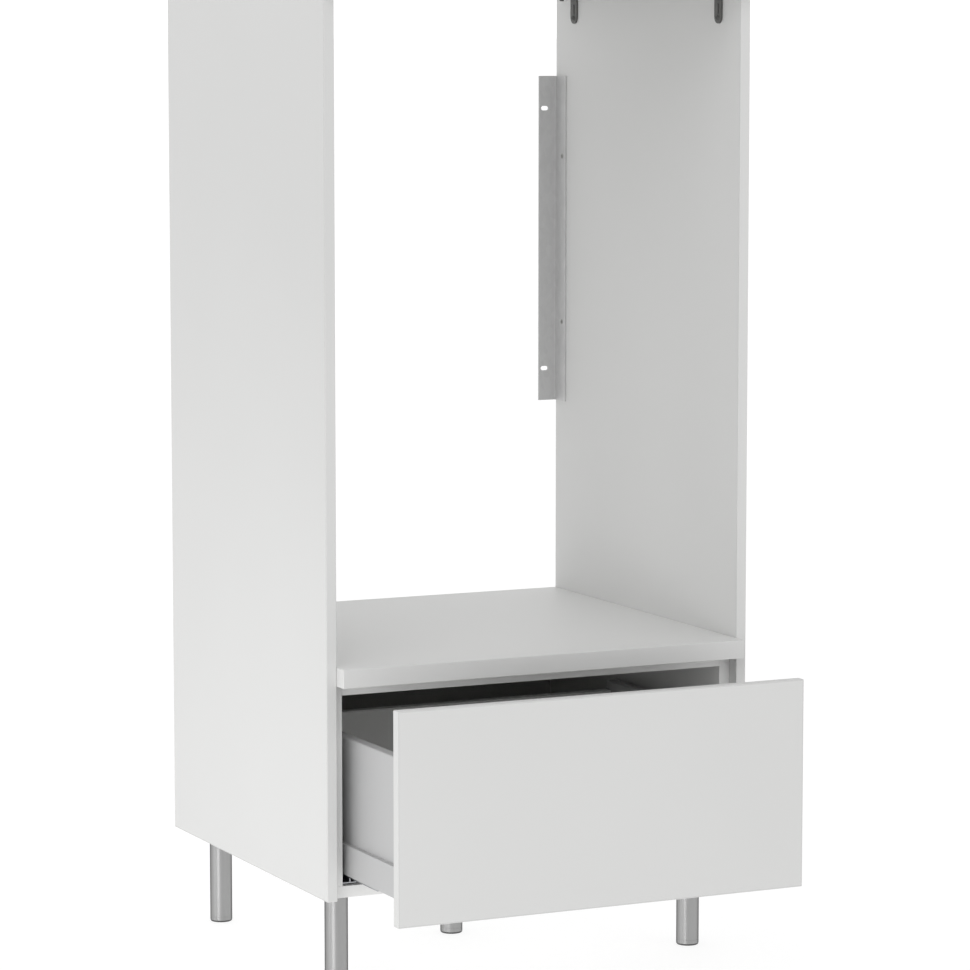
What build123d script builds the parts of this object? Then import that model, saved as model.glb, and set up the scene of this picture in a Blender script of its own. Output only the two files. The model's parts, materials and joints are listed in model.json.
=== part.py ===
"""Washing machine cabinet: an open niche for the machine, raised over one deep drawer on five legs.

All sizes are in millimetres. +Z is up, +Y points to the back and +X to the right.
The origin is on the floor, at the axis of the centre leg.
The drawer is drawn pulled out by rest_opening.
"""
from build123d import *
import os

os.makedirs("parts", exist_ok=True)

# Casing: two tall side panels, the platform for the machine and the top board
cabinet_width = 640.0
cabinet_depth = 570.0
panel_thickness = 15.0
platform_thickness = 26.0
top_board_thickness = 26.0
board_overhang = 22.0
niche_height = 894.0
edge_radius = 1.2

# Carcass: the box below the platform that holds the drawer
carcass_height = 293.0
carcass_board = 16.0
carcass_setback = 20.0
rail_depth = 90.0
back_thickness = 3.0
back_inset = 12.0
groove_depth = 7.0
groove_clearance = 0.2
dowel_diameter = 8.0
dowel_length = 30.0
dowel_seat = 11.0
dowel_end_inset = 50.0
dowel_half_pitch = 22.0
rail_screw_inset = 97.0

# Legs: a plate under the carcass, a round tube and a foot that screws in and out
leg_height = 132.0
leg_diameter = 32.0
leg_wall = 1.5
leg_side_inset = 47.0
leg_front_inset = 80.0
leg_rear_inset = 64.0
leg_plate_size = 60.0
leg_plate_thickness = 2.5
leg_plate_corner = 8.0
leg_plate_hole_pitch = 44.0
leg_boss_height = 12.0
leg_boss_wall = 4.0
leg_bush_height = 14.0
foot_height = 8.0
foot_rim = 1.8
foot_joint_chamfer = 0.2
spindle_diameter = 10.0
spindle_length = 40.0

# Steel angles that stiffen the open back and are screwed to the wall through slots
angle_width = 30.0
angle_flange = 35.0
angle_thickness = 2.0
angle_bend = 1.0
angle_bottom_inset = 288.0
angle_top_inset = 116.0
slot_length = 12.0
slot_width = 6.5
slot_end_inset = 48.5
slot_edge_inset = 9.5
angle_screw_inset = 120.0
angle_screw_back = 24.0

# Small brackets that hold the top board on the side panels
bracket_width = 20.0
bracket_leg_length = 38.0
bracket_arm_length = 30.0
bracket_thickness = 2.5
bracket_bend = 1.0
bracket_end_inset = 62.0
bracket_hole_inset = 8.0
bracket_bead_width = 4.5
bracket_bead_height = 1.0
bracket_bead_gap = 5.0
bracket_bead_top_gap = 10.0
bracket_corner_radius = 9.8

# Screws
screw_diameter = 4.0
screw_head_diameter = 7.6
pan_head_taper = 1.0
pan_head_height = 2.2
short_screw_length = 14.0
joining_screw_length = 28.0
joining_screw_inset = 70.0
joining_screw_low = 82.0
joining_screw_high = 52.0
runner_screw_diameter = 6.0
runner_screw_head = 9.0
runner_screw_length = 11.0
runner_screw_front_inset = 37.0
runner_screw_middle_inset = 262.0
runner_screw_back_inset = 43.0
runner_screw_height = 28.0
drive_length = 4.2
drive_width = 1.0
drive_depth = 1.2

# Drawer: a plain front, double steel sides, a bottom and a back
rest_opening = 196.5
front_thickness = 15.0
front_recess = 3.0
front_side_gap = 2.25
front_top_gap = 3.8
front_bottom_gap = 2.3
side_gap = 6.0
band_height = 42.0
band_ledge = 7.0
side_thickness = 16.0
sheet_steel = 1.2
side_bottom_gap = 14.0
side_top_gap = 61.0
side_edge_radius = 2.0
drawer_bottom_thickness = 16.0
drawer_back_thickness = 16.0
drawer_back_drop = 13.0
bottom_flange = 12.0
drawer_board_clearance = 0.3
buffer_diameter = 8.0
buffer_clearance = 0.3
buffer_inset = 24.0

# Drawer fixings: clips in the hollow sides
clip_clearance = 0.3
clip_foot = 4.0
clip_tongue = 3.0
clip_length = 36.0
clip_end_gap = 10.0
clip_screw_inset = 20.0
back_screw_low = 40.0
back_screw_high = 32.0
back_plate_thickness = 1.5
back_plate_reach = 26.0

# Runners: three steel members a side, which roll on each other
runner_setback = 6.0
runner_back_room = 29.0
runner_overlap = 45.0
member_shortfall = 20.0
side_shortfall = 10.0
runner_steel = 1.5
middle_steel = 1.8
runner_floor_gap = 2.0
runner_flange_height = 45.0
track_width = 9.8
track_wall = 1.5
member_side_clearance = 0.4
middle_leg_gap = 6.5
drawer_member_height = 30.0
roller_diameter = 4.0
roller_clearance = 0.1
roller_pitch = 32.0
roller_end_gap = 2.0
cage_thickness = 1.6
cage_window_gap = 0.3
cage_side_gap = 0.8
cage_end_margin = 20.0

# Fits, and how far a cut runs past the surface that it opens
cut_past = 1.0
screw_fit = 0.1
dowel_fit = 0.05
boss_fit = 0.1
spindle_fit = 0.05

# How a round body lies to its plane: on top of it, or sunk into it
standing = (Align.CENTER, Align.CENTER, Align.MIN)
sunk = (Align.CENTER, Align.CENTER, Align.MAX)

# Levels and planes that follow from the sizes above
side_signs = {"left": -1, "right": 1}
inner_x = cabinet_width / 2 - panel_thickness
carcass_inner_x = inner_x - carcass_board
leg_x = cabinet_width / 2 - leg_side_inset
leg_y = (cabinet_depth - leg_front_inset - leg_rear_inset) / 2
front_y = -leg_y - leg_front_inset
rear_y = front_y + cabinet_depth
carcass_front_y = front_y + carcass_setback
carcass_floor_z = leg_height + carcass_board
carcass_top_z = leg_height + carcass_height
rail_z = carcass_top_z - carcass_board
platform_z = carcass_top_z + platform_thickness
ceiling_z = platform_z + niche_height
back_y = rear_y - back_inset - back_thickness
mid_y = (front_y + rear_y) / 2
screw_hole_radius = screw_diameter / 2 + screw_fit
screw_sink_radius = screw_head_diameter / 2 + screw_fit
runner_hole_radius = runner_screw_diameter / 2 + screw_fit

# Drawer and runner levels, and distances inwards from the carcass side's inner face
closed_front_y = front_y + front_recess
drawer_front_y = closed_front_y - rest_opening
drawer_start_y = drawer_front_y + front_thickness
drawer_front_x = inner_x - front_side_gap
drawer_front_bottom = leg_height + front_bottom_gap
drawer_front_top = carcass_top_z - front_top_gap
runner_length = back_y - carcass_front_y - runner_setback - runner_back_room
runner_start_y = carcass_front_y + runner_setback
runner_travel = runner_length - runner_overlap
member_length = runner_length - member_shortfall
side_length = runner_length - side_shortfall
drawer_end_y = drawer_start_y + side_length
band_bottom = carcass_floor_z + side_bottom_gap
band_top = band_bottom + band_height
side_top = rail_z - side_top_gap
wall_outer = side_gap + band_ledge
wall_inner = wall_outer + side_thickness
wall_x = carcass_inner_x - wall_inner
drawer_floor_z = band_bottom + sheet_steel + drawer_bottom_thickness
drawer_back_top = side_top - drawer_back_drop
drawer_member_top = band_top - sheet_steel
drawer_member_web = drawer_member_top - runner_steel
roller_room = roller_diameter + 2 * roller_clearance
middle_top = drawer_member_web - roller_room
middle_web = middle_top - middle_steel
track_top = middle_web - roller_room
runner_floor = carcass_floor_z + runner_floor_gap
track_middle = (side_gap + wall_inner) / 2
middle_inner_width = track_width + 2 * member_side_clearance
middle_width = middle_inner_width + 2 * middle_steel
drawer_member_inner_width = middle_width + 2 * member_side_clearance
drawer_member_width = drawer_member_inner_width + 2 * runner_steel
cage_length = member_length - runner_travel / 2 - 2 * cage_end_margin
roller_count = int(cage_length // roller_pitch)


def save(piece, name):
    """Label a finished piece and write its STEP file."""
    piece.part.label = name
    export_step(piece.part, f"parts/{name}.step")


def block(x, y, z, mode=Mode.ADD):
    """Add or cut a box, given its lowest and highest value along each axis."""
    with BuildSketch(Plane.XY.offset(min(z))) as base:
        with Locations((sum(x) / 2, sum(y) / 2)):
            Rectangle(abs(x[1] - x[0]), abs(y[1] - y[0]))
    extrude(base.sketch, amount=abs(z[1] - z[0]), mode=mode)


def inward(sign, distance):
    """X of a point that lies some distance inwards from a carcass side's inner face."""
    return sign * (carcass_inner_x - distance)


def facing(sign, x, y, z):
    """Plane on a surface that looks towards the cabinet's middle, for a screw head or a hole."""
    return Plane(origin=(sign * x, y, z), x_dir=(0, 1, 0), z_dir=(-sign, 0, 0))


def facing_down(x, y, z):
    """Plane on a surface that looks down."""
    return Plane(origin=(x, y, z), x_dir=(1, 0, 0), z_dir=(0, 0, -1))


def bend(strip, direction, corner, thickness, inner_radius):
    """Round the inside and the outside of a fold, given the point where its outer edge would be."""
    fillet(strip.edges().filter_by(direction).sort_by_distance(corner)[1], inner_radius)
    fillet(strip.edges().filter_by(direction).sort_by_distance(corner)[0], inner_radius + thickness)


def moved_in(planes, depth):
    """The same planes, sunk below their surface by depth."""
    return [plane.offset(-depth) for plane in planes]


def pilot_holes(planes, depth):
    """Blind holes for the shanks of screws."""
    with Locations(*planes):
        Hole(screw_hole_radius, depth=depth)


def sunk_holes(planes, depth):
    """Holes with a countersink for flat heads."""
    with Locations(*planes):
        CounterSinkHole(screw_hole_radius, screw_sink_radius, depth=depth, counter_sink_angle=90)


def screw_drives(planes):
    """Cross recesses in the heads of screws."""
    for plane in planes:
        with BuildSketch(plane) as cross:
            Rectangle(drive_length, drive_width)
            Rectangle(drive_width, drive_length)
        extrude(cross.sketch, amount=-drive_depth, mode=Mode.SUBTRACT)


def flat_head_screws(planes, length):
    """Countersunk screws with their heads' flat faces on the planes."""
    cone = (screw_head_diameter - screw_diameter) / 2
    with Locations(*planes):
        Cylinder(screw_diameter / 2, length, align=sunk)
        Cone(screw_diameter / 2, screw_head_diameter / 2, cone, align=sunk)
    screw_drives(planes)


def pan_head_screws(planes, length):
    """Screws with low round heads that sit on the planes."""
    head_radius = screw_head_diameter / 2
    with Locations(*planes):
        Cylinder(screw_diameter / 2, length, align=sunk)
        Cone(head_radius, head_radius - pan_head_taper, pan_head_height, align=standing)
    screw_drives([plane.offset(pan_head_height) for plane in planes])


# Places of the fasteners, shared by the pieces that they join
joining_y = (carcass_front_y + joining_screw_inset, rear_y - joining_screw_inset)
joining_z = (carcass_floor_z + joining_screw_low, rail_z - joining_screw_high)
rail_fronts = {"front": carcass_front_y, "rear": back_y - rail_depth}
rail_middles = {end: start + rail_depth / 2 for end, start in rail_fronts.items()}
bracket_y = {"front": front_y + bracket_end_inset, "rear": rear_y - bracket_end_inset}
bracket_hole_z = ceiling_z - bracket_leg_length + bracket_hole_inset
bracket_hole_x = inner_x - bracket_arm_length + bracket_hole_inset
angle_bottom = platform_z + angle_bottom_inset
angle_top = ceiling_z - angle_top_inset
angle_screw_y = rear_y - angle_screw_back
angle_screw_z = (angle_bottom + angle_screw_inset, angle_top - angle_screw_inset)
rail_screw_x = carcass_inner_x - rail_screw_inset
runner_screw_z = runner_floor + runner_screw_height
runner_screw_y = (
    runner_start_y + runner_screw_front_inset,
    runner_start_y + runner_screw_middle_inset,
    runner_start_y + runner_length - runner_screw_back_inset,
)
leg_places = {
    "front_left": (-leg_x, -leg_y),
    "front_right": (leg_x, -leg_y),
    "rear_left": (-leg_x, leg_y),
    "rear_right": (leg_x, leg_y),
    "centre": (0, 0),
}


def joining_planes(sign):
    """Screws from inside the carcass into a side panel."""
    return [facing(sign, carcass_inner_x, y, z) for y in joining_y for z in joining_z]


def platform_planes(end):
    """Screws from below a rail into the platform."""
    return [facing_down(x, rail_middles[end], rail_z) for x in (-rail_screw_x, rail_screw_x)]


def rail_dowel_places(end):
    """Y of the dowels in a rail's two ends."""
    return [rail_middles[end] - dowel_half_pitch, rail_middles[end] + dowel_half_pitch]


def side_dowel_places():
    """Y of the dowels between the carcass bottom and a side."""
    return [carcass_front_y + dowel_end_inset, mid_y, rear_y - dowel_end_inset]


def bracket_leg_plane(sign, end, distance):
    """A bracket's screw into the side panel, at a distance inwards from the panel."""
    return facing(sign, inner_x - distance, bracket_y[end], bracket_hole_z)


def bracket_arm_plane(sign, end, distance):
    """A bracket's screw into the top board, at a distance below it."""
    return facing_down(sign * bracket_hole_x, bracket_y[end], ceiling_z - distance)


def angle_planes(sign, distance):
    """Screws of a wall angle, at a distance inwards from the side panel."""
    return [facing(sign, inner_x - distance, angle_screw_y, z) for z in angle_screw_z]


def runner_screw_planes(sign, distance):
    """Screws of a runner track, at a distance inwards from the carcass side."""
    return [facing(sign, carcass_inner_x - distance, y, runner_screw_z) for y in runner_screw_y]


def leg_screw_planes(place, z):
    """The four screws of a leg's plate, at a given height."""
    half = leg_plate_hole_pitch / 2
    corners = [(dx, dy) for dx in (-half, half) for dy in (-half, half)]
    return [facing_down(place[0] + dx, place[1] + dy, z) for dx, dy in corners]


# Side panels
for side, sign in side_signs.items():
    with BuildPart() as side_panel:
        block((sign * inner_x, sign * cabinet_width / 2), (front_y, rear_y), (leg_height, ceiling_z))
        fillet(side_panel.edges(), edge_radius)
        pilot_holes(moved_in(joining_planes(sign), carcass_board), joining_screw_length - carcass_board)
        for end in bracket_y:
            pilot_holes([bracket_leg_plane(sign, end, 0)], short_screw_length - bracket_thickness)
        pilot_holes(angle_planes(sign, 0), short_screw_length - angle_thickness)
    save(side_panel, f"side_panel_{side}")

# Platform that the washing machine stands on
with BuildPart() as platform_board:
    block((-inner_x, inner_x), (front_y - board_overhang, rear_y), (carcass_top_z, platform_z))
    fillet(platform_board.edges(), edge_radius)
    for end in rail_fronts:
        pilot_holes(moved_in(platform_planes(end), carcass_board), joining_screw_length - carcass_board)
save(platform_board, "platform_board")

# Top board, which lies on the side panels
with BuildPart() as top_board:
    block(
        (-cabinet_width / 2, cabinet_width / 2),
        (front_y - board_overhang, rear_y),
        (ceiling_z, ceiling_z + top_board_thickness),
    )
    fillet(top_board.edges(), edge_radius)
    for sign in side_signs.values():
        for end in bracket_y:
            pilot_holes([bracket_arm_plane(sign, end, 0)], short_screw_length - bracket_thickness)
save(top_board, "top_board")

# Carcass sides, which stand on the carcass bottom
groove_y = (back_y - groove_clearance / 2, back_y + back_thickness + groove_clearance / 2)
for side, sign in side_signs.items():
    with BuildPart() as carcass_side:
        side_x = (sign * carcass_inner_x, sign * inner_x)
        block(side_x, (carcass_front_y, rear_y), (carcass_floor_z, carcass_top_z))
        fillet(carcass_side.faces().sort_by(Axis.Y)[0].edges().filter_by(Axis.Z), edge_radius / 2)
        groove_x = (sign * (carcass_inner_x - cut_past), sign * (carcass_inner_x + groove_depth))
        block(groove_x, groove_y, (carcass_floor_z, carcass_top_z), mode=Mode.SUBTRACT)
        sunk_holes(joining_planes(sign), carcass_board)
        for y in side_dowel_places():
            with Locations(facing_down(sign * (inner_x - carcass_board / 2), y, carcass_floor_z)):
                Hole(dowel_diameter / 2 + dowel_fit, depth=dowel_length - dowel_seat + dowel_fit)
        for end in rail_fronts:
            for y in rail_dowel_places(end):
                with Locations(facing(sign, carcass_inner_x, y, rail_z + carcass_board / 2)):
                    Hole(dowel_diameter / 2 + dowel_fit, depth=dowel_seat + dowel_fit)
        with Locations(*runner_screw_planes(sign, 0)):
            Hole(runner_hole_radius, depth=runner_screw_length - runner_steel + screw_fit)
    save(carcass_side, f"carcass_side_{side}")

# Carcass bottom, which carries the leg plates
with BuildPart() as carcass_bottom:
    block((-inner_x, inner_x), (carcass_front_y, rear_y), (leg_height, carcass_floor_z))
    fillet(carcass_bottom.faces().sort_by(Axis.Y)[0].edges().filter_by(Axis.X), edge_radius / 2)
    groove_reach = carcass_inner_x + groove_depth
    groove_z = (carcass_floor_z - groove_depth, carcass_floor_z + cut_past)
    block((-groove_reach, groove_reach), groove_y, groove_z, mode=Mode.SUBTRACT)
    for place in leg_places.values():
        pilot_holes(leg_screw_planes(place, leg_height), short_screw_length - leg_plate_thickness)
    for sign in side_signs.values():
        for y in side_dowel_places():
            with Locations(Plane(origin=(sign * (inner_x - carcass_board / 2), y, carcass_floor_z))):
                Hole(dowel_diameter / 2 + dowel_fit, depth=dowel_seat + dowel_fit)
save(carcass_bottom, "carcass_bottom")

# Rails that tie the carcass sides together under the platform
for end, start in rail_fronts.items():
    with BuildPart() as rail:
        block((-carcass_inner_x, carcass_inner_x), (start, start + rail_depth), (rail_z, carcass_top_z))
        fillet(rail.faces().sort_by(Axis.Y)[0].edges().filter_by(Axis.X), edge_radius / 2)
        sunk_holes(platform_planes(end), carcass_board)
        for sign in side_signs.values():
            for y in rail_dowel_places(end):
                outward = Plane(
                    origin=(sign * carcass_inner_x, y, rail_z + carcass_board / 2),
                    x_dir=(0, 1, 0),
                    z_dir=(sign, 0, 0),
                )
                with Locations(outward):
                    Hole(dowel_diameter / 2 + dowel_fit, depth=dowel_length - dowel_seat + dowel_fit)
    save(rail, f"carcass_rail_{end}")

# Thin carcass back, which slides into its grooves
with BuildPart() as carcass_back:
    back_reach = carcass_inner_x + groove_depth - groove_clearance
    block(
        (-back_reach, back_reach),
        (back_y, back_y + back_thickness),
        (carcass_floor_z - groove_depth + groove_clearance, carcass_top_z),
    )
save(carcass_back, "carcass_back")

# Dowels of the carcass
with BuildPart() as carcass_dowels:
    for sign in side_signs.values():
        for y in side_dowel_places():
            with Locations((sign * (inner_x - carcass_board / 2), y, carcass_floor_z - dowel_seat)):
                Cylinder(dowel_diameter / 2, dowel_length, align=standing)
        for end in rail_fronts:
            for y in rail_dowel_places(end):
                tip = facing(sign, carcass_inner_x + dowel_seat, y, rail_z + carcass_board / 2)
                with Locations(tip):
                    Cylinder(dowel_diameter / 2, dowel_length, align=standing)
save(carcass_dowels, "carcass_dowels")

# Screws that hold the side panels and the platform to the carcass
with BuildPart() as joining_screws:
    for sign in side_signs.values():
        flat_head_screws(joining_planes(sign), joining_screw_length)
    for end in rail_fronts:
        flat_head_screws(platform_planes(end), joining_screw_length)
save(joining_screws, "joining_screws")

# Wall angles at the rear edges of the niche
for side, sign in side_signs.items():
    with BuildPart() as wall_angle:
        rear_flange_x = (sign * (inner_x - angle_width), sign * inner_x)
        side_flange_x = (sign * (inner_x - angle_thickness), sign * inner_x)
        block(rear_flange_x, (rear_y - angle_thickness, rear_y), (angle_bottom, angle_top))
        block(side_flange_x, (rear_y - angle_flange, rear_y), (angle_bottom, angle_top))
        bend(wall_angle, Axis.Z, (sign * inner_x, rear_y, angle_bottom), angle_thickness, angle_bend)
        slot_x = sign * (inner_x - angle_width + slot_edge_inset)
        with BuildSketch(Plane.XZ.offset(-rear_y)):
            with Locations((slot_x, angle_bottom + slot_end_inset), (slot_x, angle_top - slot_end_inset)):
                SlotOverall(slot_length, slot_width)
        extrude(amount=angle_thickness + cut_past, mode=Mode.SUBTRACT)
        sunk_holes(angle_planes(sign, angle_thickness), angle_thickness)
    save(wall_angle, f"wall_angle_{side}")

# Screws of the wall angles
with BuildPart() as wall_angle_screws:
    for sign in side_signs.values():
        flat_head_screws(angle_planes(sign, angle_thickness), short_screw_length)
save(wall_angle_screws, "wall_angle_screws")

# Brackets under the top board, one at each corner of the niche
for side, sign in side_signs.items():
    for end, y in bracket_y.items():
        width_y = (y - bracket_width / 2, y + bracket_width / 2)
        with BuildPart() as bracket:
            leg_x_span = (sign * (inner_x - bracket_thickness), sign * inner_x)
            block(leg_x_span, width_y, (ceiling_z - bracket_leg_length, ceiling_z))
            leg_corners = bracket.edges().filter_by(Axis.X).group_by(Axis.Z)[0]
            fillet(leg_corners, bracket_corner_radius)
            arm_x_span = (sign * (inner_x - bracket_arm_length), sign * inner_x)
            block(arm_x_span, width_y, (ceiling_z - bracket_thickness, ceiling_z))
            arm_corners = bracket.edges().filter_by(Axis.Z).group_by(Axis.X)[0 if sign > 0 else -1]
            fillet(arm_corners, bracket_corner_radius)
            bend(bracket, Axis.Y, (sign * inner_x, y, ceiling_z), bracket_thickness, bracket_bend)
            bead_low = bracket_hole_z + bracket_bead_gap
            bead_high = ceiling_z - bracket_bead_top_gap
            with BuildSketch(facing(sign, inner_x - bracket_thickness, y, (bead_low + bead_high) / 2)):
                SlotOverall(bead_high - bead_low, bracket_bead_width, rotation=90)
            extrude(amount=bracket_bead_height)
            pilot_holes([bracket_leg_plane(sign, end, bracket_thickness)], bracket_thickness)
            pilot_holes([bracket_arm_plane(sign, end, bracket_thickness)], bracket_thickness)
        save(bracket, f"top_bracket_{end}_{side}")

# Screws of the top brackets
with BuildPart() as top_bracket_screws:
    for sign in side_signs.values():
        for end in bracket_y:
            pan_head_screws([bracket_leg_plane(sign, end, bracket_thickness)], short_screw_length)
            pan_head_screws([bracket_arm_plane(sign, end, bracket_thickness)], short_screw_length)
save(top_bracket_screws, "top_bracket_screws")

# Legs
plate_z = leg_height - leg_plate_thickness
tube_inner_radius = leg_diameter / 2 - leg_wall
for name, place in leg_places.items():
    with BuildPart() as leg_plate:
        with BuildSketch(Plane.XY.offset(plate_z)):
            with Locations(place):
                RectangleRounded(leg_plate_size, leg_plate_size, leg_plate_corner)
        extrude(amount=leg_plate_thickness)
        with BuildSketch(Plane.XY.offset(plate_z - leg_boss_height)):
            with Locations(place):
                Circle(tube_inner_radius - boss_fit)
                Circle(tube_inner_radius - boss_fit - leg_boss_wall, mode=Mode.SUBTRACT)
        extrude(amount=leg_boss_height)
        sunk_holes(leg_screw_planes(place, plate_z), leg_plate_thickness)
    save(leg_plate, f"leg_plate_{name}")

    with BuildPart() as leg_tube:
        with BuildSketch(Plane.XY.offset(foot_height)):
            with Locations(place):
                Circle(leg_diameter / 2)
                Circle(tube_inner_radius, mode=Mode.SUBTRACT)
        extrude(amount=plate_z - foot_height)
        with BuildSketch(Plane.XY.offset(foot_height)):
            with Locations(place):
                Circle(tube_inner_radius + leg_wall / 2)
                Circle(spindle_diameter / 2 + spindle_fit, mode=Mode.SUBTRACT)
        extrude(amount=leg_bush_height)
        rim = leg_tube.edges().filter_by(GeomType.CIRCLE).group_by(Axis.Z)[0].sort_by(SortBy.RADIUS)[-1]
        chamfer(rim, foot_joint_chamfer)
    save(leg_tube, f"leg_tube_{name}")

    with BuildPart() as foot:
        with BuildSketch(Plane.XY):
            with Locations(place):
                Circle(leg_diameter / 2)
        extrude(amount=foot_height)
        foot_rims = foot.edges().filter_by(GeomType.CIRCLE).sort_by(Axis.Z)
        fillet(foot_rims[0], foot_rim)
        chamfer(foot.edges().filter_by(GeomType.CIRCLE).sort_by(Axis.Z)[-1], foot_joint_chamfer)
        with BuildSketch(Plane.XY.offset(foot_height)):
            with Locations(place):
                Circle(spindle_diameter / 2)
        extrude(amount=spindle_length)
    save(foot, f"foot_{name}")

# Screws of the leg plates
with BuildPart() as leg_plate_screws:
    for place in leg_places.values():
        flat_head_screws(leg_screw_planes(place, plate_z), short_screw_length)
save(leg_plate_screws, "leg_plate_screws")

# Places of the drawer's fixings
clip_x = (wall_outer + sheet_steel + clip_clearance, wall_inner - sheet_steel - clip_clearance)
clip_z = (band_top + clip_end_gap, side_top - sheet_steel - clip_end_gap)
clip_screw_u = (clip_x[0] + clip_tongue + clip_x[1]) / 2
clip_screw_z = (clip_z[0] + clip_screw_inset, clip_z[1] - clip_screw_inset)
back_plate_z = (band_top + clip_clearance, drawer_back_top - clip_end_gap)
back_screw_z = (drawer_floor_z + back_screw_low, drawer_back_top - back_screw_high)


def front_screw_planes(sign, y):
    """Screws of a front clip, seen from the back of the drawer front."""
    places = [(inward(sign, clip_screw_u), y, z) for z in clip_screw_z]
    return [Plane(origin=place, x_dir=(1, 0, 0), z_dir=(0, 1, 0)) for place in places]


def back_screw_planes(sign, y):
    """Screws of a back plate, seen from behind the drawer."""
    places = [(inward(sign, wall_inner + back_plate_reach / 2), y, z) for z in back_screw_z]
    return [Plane(origin=place, x_dir=(1, 0, 0), z_dir=(0, 1, 0)) for place in places]


def upright(sign, distances, z, mode=Mode.ADD):
    """A rectangle of a section, given by its distances inwards and its heights."""
    x = [inward(sign, distance) for distance in distances]
    with Locations((sum(x) / 2, sum(z) / 2)):
        Rectangle(abs(x[1] - x[0]), abs(z[1] - z[0]), mode=mode)


def along(start):
    """Plane across the drawer at a given Y, whose sketches are extruded towards the front."""
    return Plane(origin=(0, start, 0), x_dir=(1, 0, 0), z_dir=(0, -1, 0))


# Drawer front, with blind holes for its clips
with BuildPart() as drawer_front:
    front_z = (drawer_front_bottom, drawer_front_top)
    block((-drawer_front_x, drawer_front_x), (drawer_front_y, drawer_start_y), front_z)
    fillet(drawer_front.edges(), edge_radius)
    for sign in side_signs.values():
        pilot_holes(front_screw_planes(sign, drawer_start_y), short_screw_length - clip_foot)
save(drawer_front, "drawer_front")

# Drawer bottom and back
with BuildPart() as drawer_bottom:
    reach = wall_x - drawer_board_clearance
    block((-reach, reach), (drawer_start_y, drawer_end_y), (band_bottom + sheet_steel, drawer_floor_z))
save(drawer_bottom, "drawer_bottom")

with BuildPart() as drawer_back:
    back_span_y = (drawer_end_y - drawer_back_thickness, drawer_end_y)
    block((-reach, reach), back_span_y, (drawer_floor_z, drawer_back_top))
    fillet(drawer_back.faces().sort_by(Axis.Z)[-1].edges().filter_by(Axis.X), edge_radius / 2)
    for sign in side_signs.values():
        pilot_holes(back_screw_planes(sign, drawer_end_y), short_screw_length - back_plate_thickness)
save(drawer_back, "drawer_back")

# Buffers between the drawer front and the carcass
buffer_height = carcass_setback - front_recess - front_thickness - buffer_clearance
with BuildPart() as front_buffers:
    for sign in side_signs.values():
        for z in (carcass_floor_z + buffer_inset, carcass_top_z - buffer_inset):
            origin = (sign * (inner_x - carcass_board / 2), drawer_start_y, z)
            with Locations(Plane(origin=origin, x_dir=(1, 0, 0), z_dir=(0, 1, 0))):
                Cylinder(buffer_diameter / 2, buffer_height, align=standing)
save(front_buffers, "front_buffers")

for side, sign in side_signs.items():
    # Lower band of the drawer side: a steel channel over the runner, with a flange under the bottom
    with BuildPart() as side_band:
        with BuildSketch(along(drawer_end_y)):
            upright(sign, (side_gap, wall_inner), (band_bottom, band_top))
            hollow = (side_gap + sheet_steel, wall_inner - sheet_steel)
            upright(sign, hollow, (band_bottom, band_top - sheet_steel), mode=Mode.SUBTRACT)
            flange = (wall_inner - sheet_steel, wall_inner + bottom_flange)
            upright(sign, flange, (band_bottom, band_bottom + sheet_steel))
        extrude(amount=side_length)
        top_edges = side_band.edges().filter_by(Axis.Y).group_by(Axis.Z)[-1]
        fillet(top_edges.sort_by(Axis.X)[0 if sign < 0 else -1], edge_radius / 2)
    save(side_band, f"drawer_side_band_{side}")

    # Upper wall of the drawer side: a closed double-walled steel profile
    with BuildPart() as side_wall:
        with BuildSketch(along(drawer_end_y)):
            upright(sign, (wall_outer, wall_inner), (band_top, side_top))
        extrude(amount=side_length)
        fillet(side_wall.edges().filter_by(Axis.Y).group_by(Axis.Z)[-1], side_edge_radius)
        with BuildSketch(along(drawer_end_y)):
            hollow = (wall_outer + sheet_steel, wall_inner - sheet_steel)
            upright(sign, hollow, (band_top + sheet_steel, side_top - sheet_steel))
        extrude(amount=side_length, mode=Mode.SUBTRACT)
    save(side_wall, f"drawer_side_wall_{side}")

    # Clip inside the wall's front end, screwed to the drawer front
    with BuildPart() as front_clip:
        x = [inward(sign, distance) for distance in clip_x]
        block(x, (drawer_start_y, drawer_start_y + clip_foot), clip_z)
        block((x[0], x[0] - sign * clip_tongue), (drawer_start_y, drawer_start_y + clip_length), clip_z)
        pilot_holes(front_screw_planes(sign, drawer_start_y + clip_foot), clip_foot)
    save(front_clip, f"front_clip_{side}")

    # Plate on the wall's rear end, screwed to the drawer back
    with BuildPart() as back_plate:
        plate_x = (inward(sign, wall_outer), inward(sign, wall_inner + back_plate_reach))
        block(plate_x, (drawer_end_y, drawer_end_y + back_plate_thickness), back_plate_z)
        tongue_x = (x[0], x[0] - sign * clip_tongue)
        tongue_z = (back_plate_z[0] + clip_end_gap, back_plate_z[1] - clip_end_gap)
        block(tongue_x, (drawer_end_y - clip_length, drawer_end_y), tongue_z)
        pilot_holes(back_screw_planes(sign, drawer_end_y + back_plate_thickness), back_plate_thickness)
    save(back_plate, f"back_plate_{side}")

# Screws of the front clips and the back plates
with BuildPart() as drawer_screws:
    for sign in side_signs.values():
        pan_head_screws(front_screw_planes(sign, drawer_start_y + clip_foot), short_screw_length)
        pan_head_screws(back_screw_planes(sign, drawer_end_y + back_plate_thickness), short_screw_length)
save(drawer_screws, "drawer_screws")


def inverted_channel(sign, outer_width, wall, low, high):
    """Section of a runner member that hangs over the track."""
    outer = (track_middle - outer_width / 2, track_middle + outer_width / 2)
    upright(sign, outer, (low, high))
    upright(sign, (outer[0] + wall, outer[1] - wall), (low, high - wall), mode=Mode.SUBTRACT)


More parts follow.
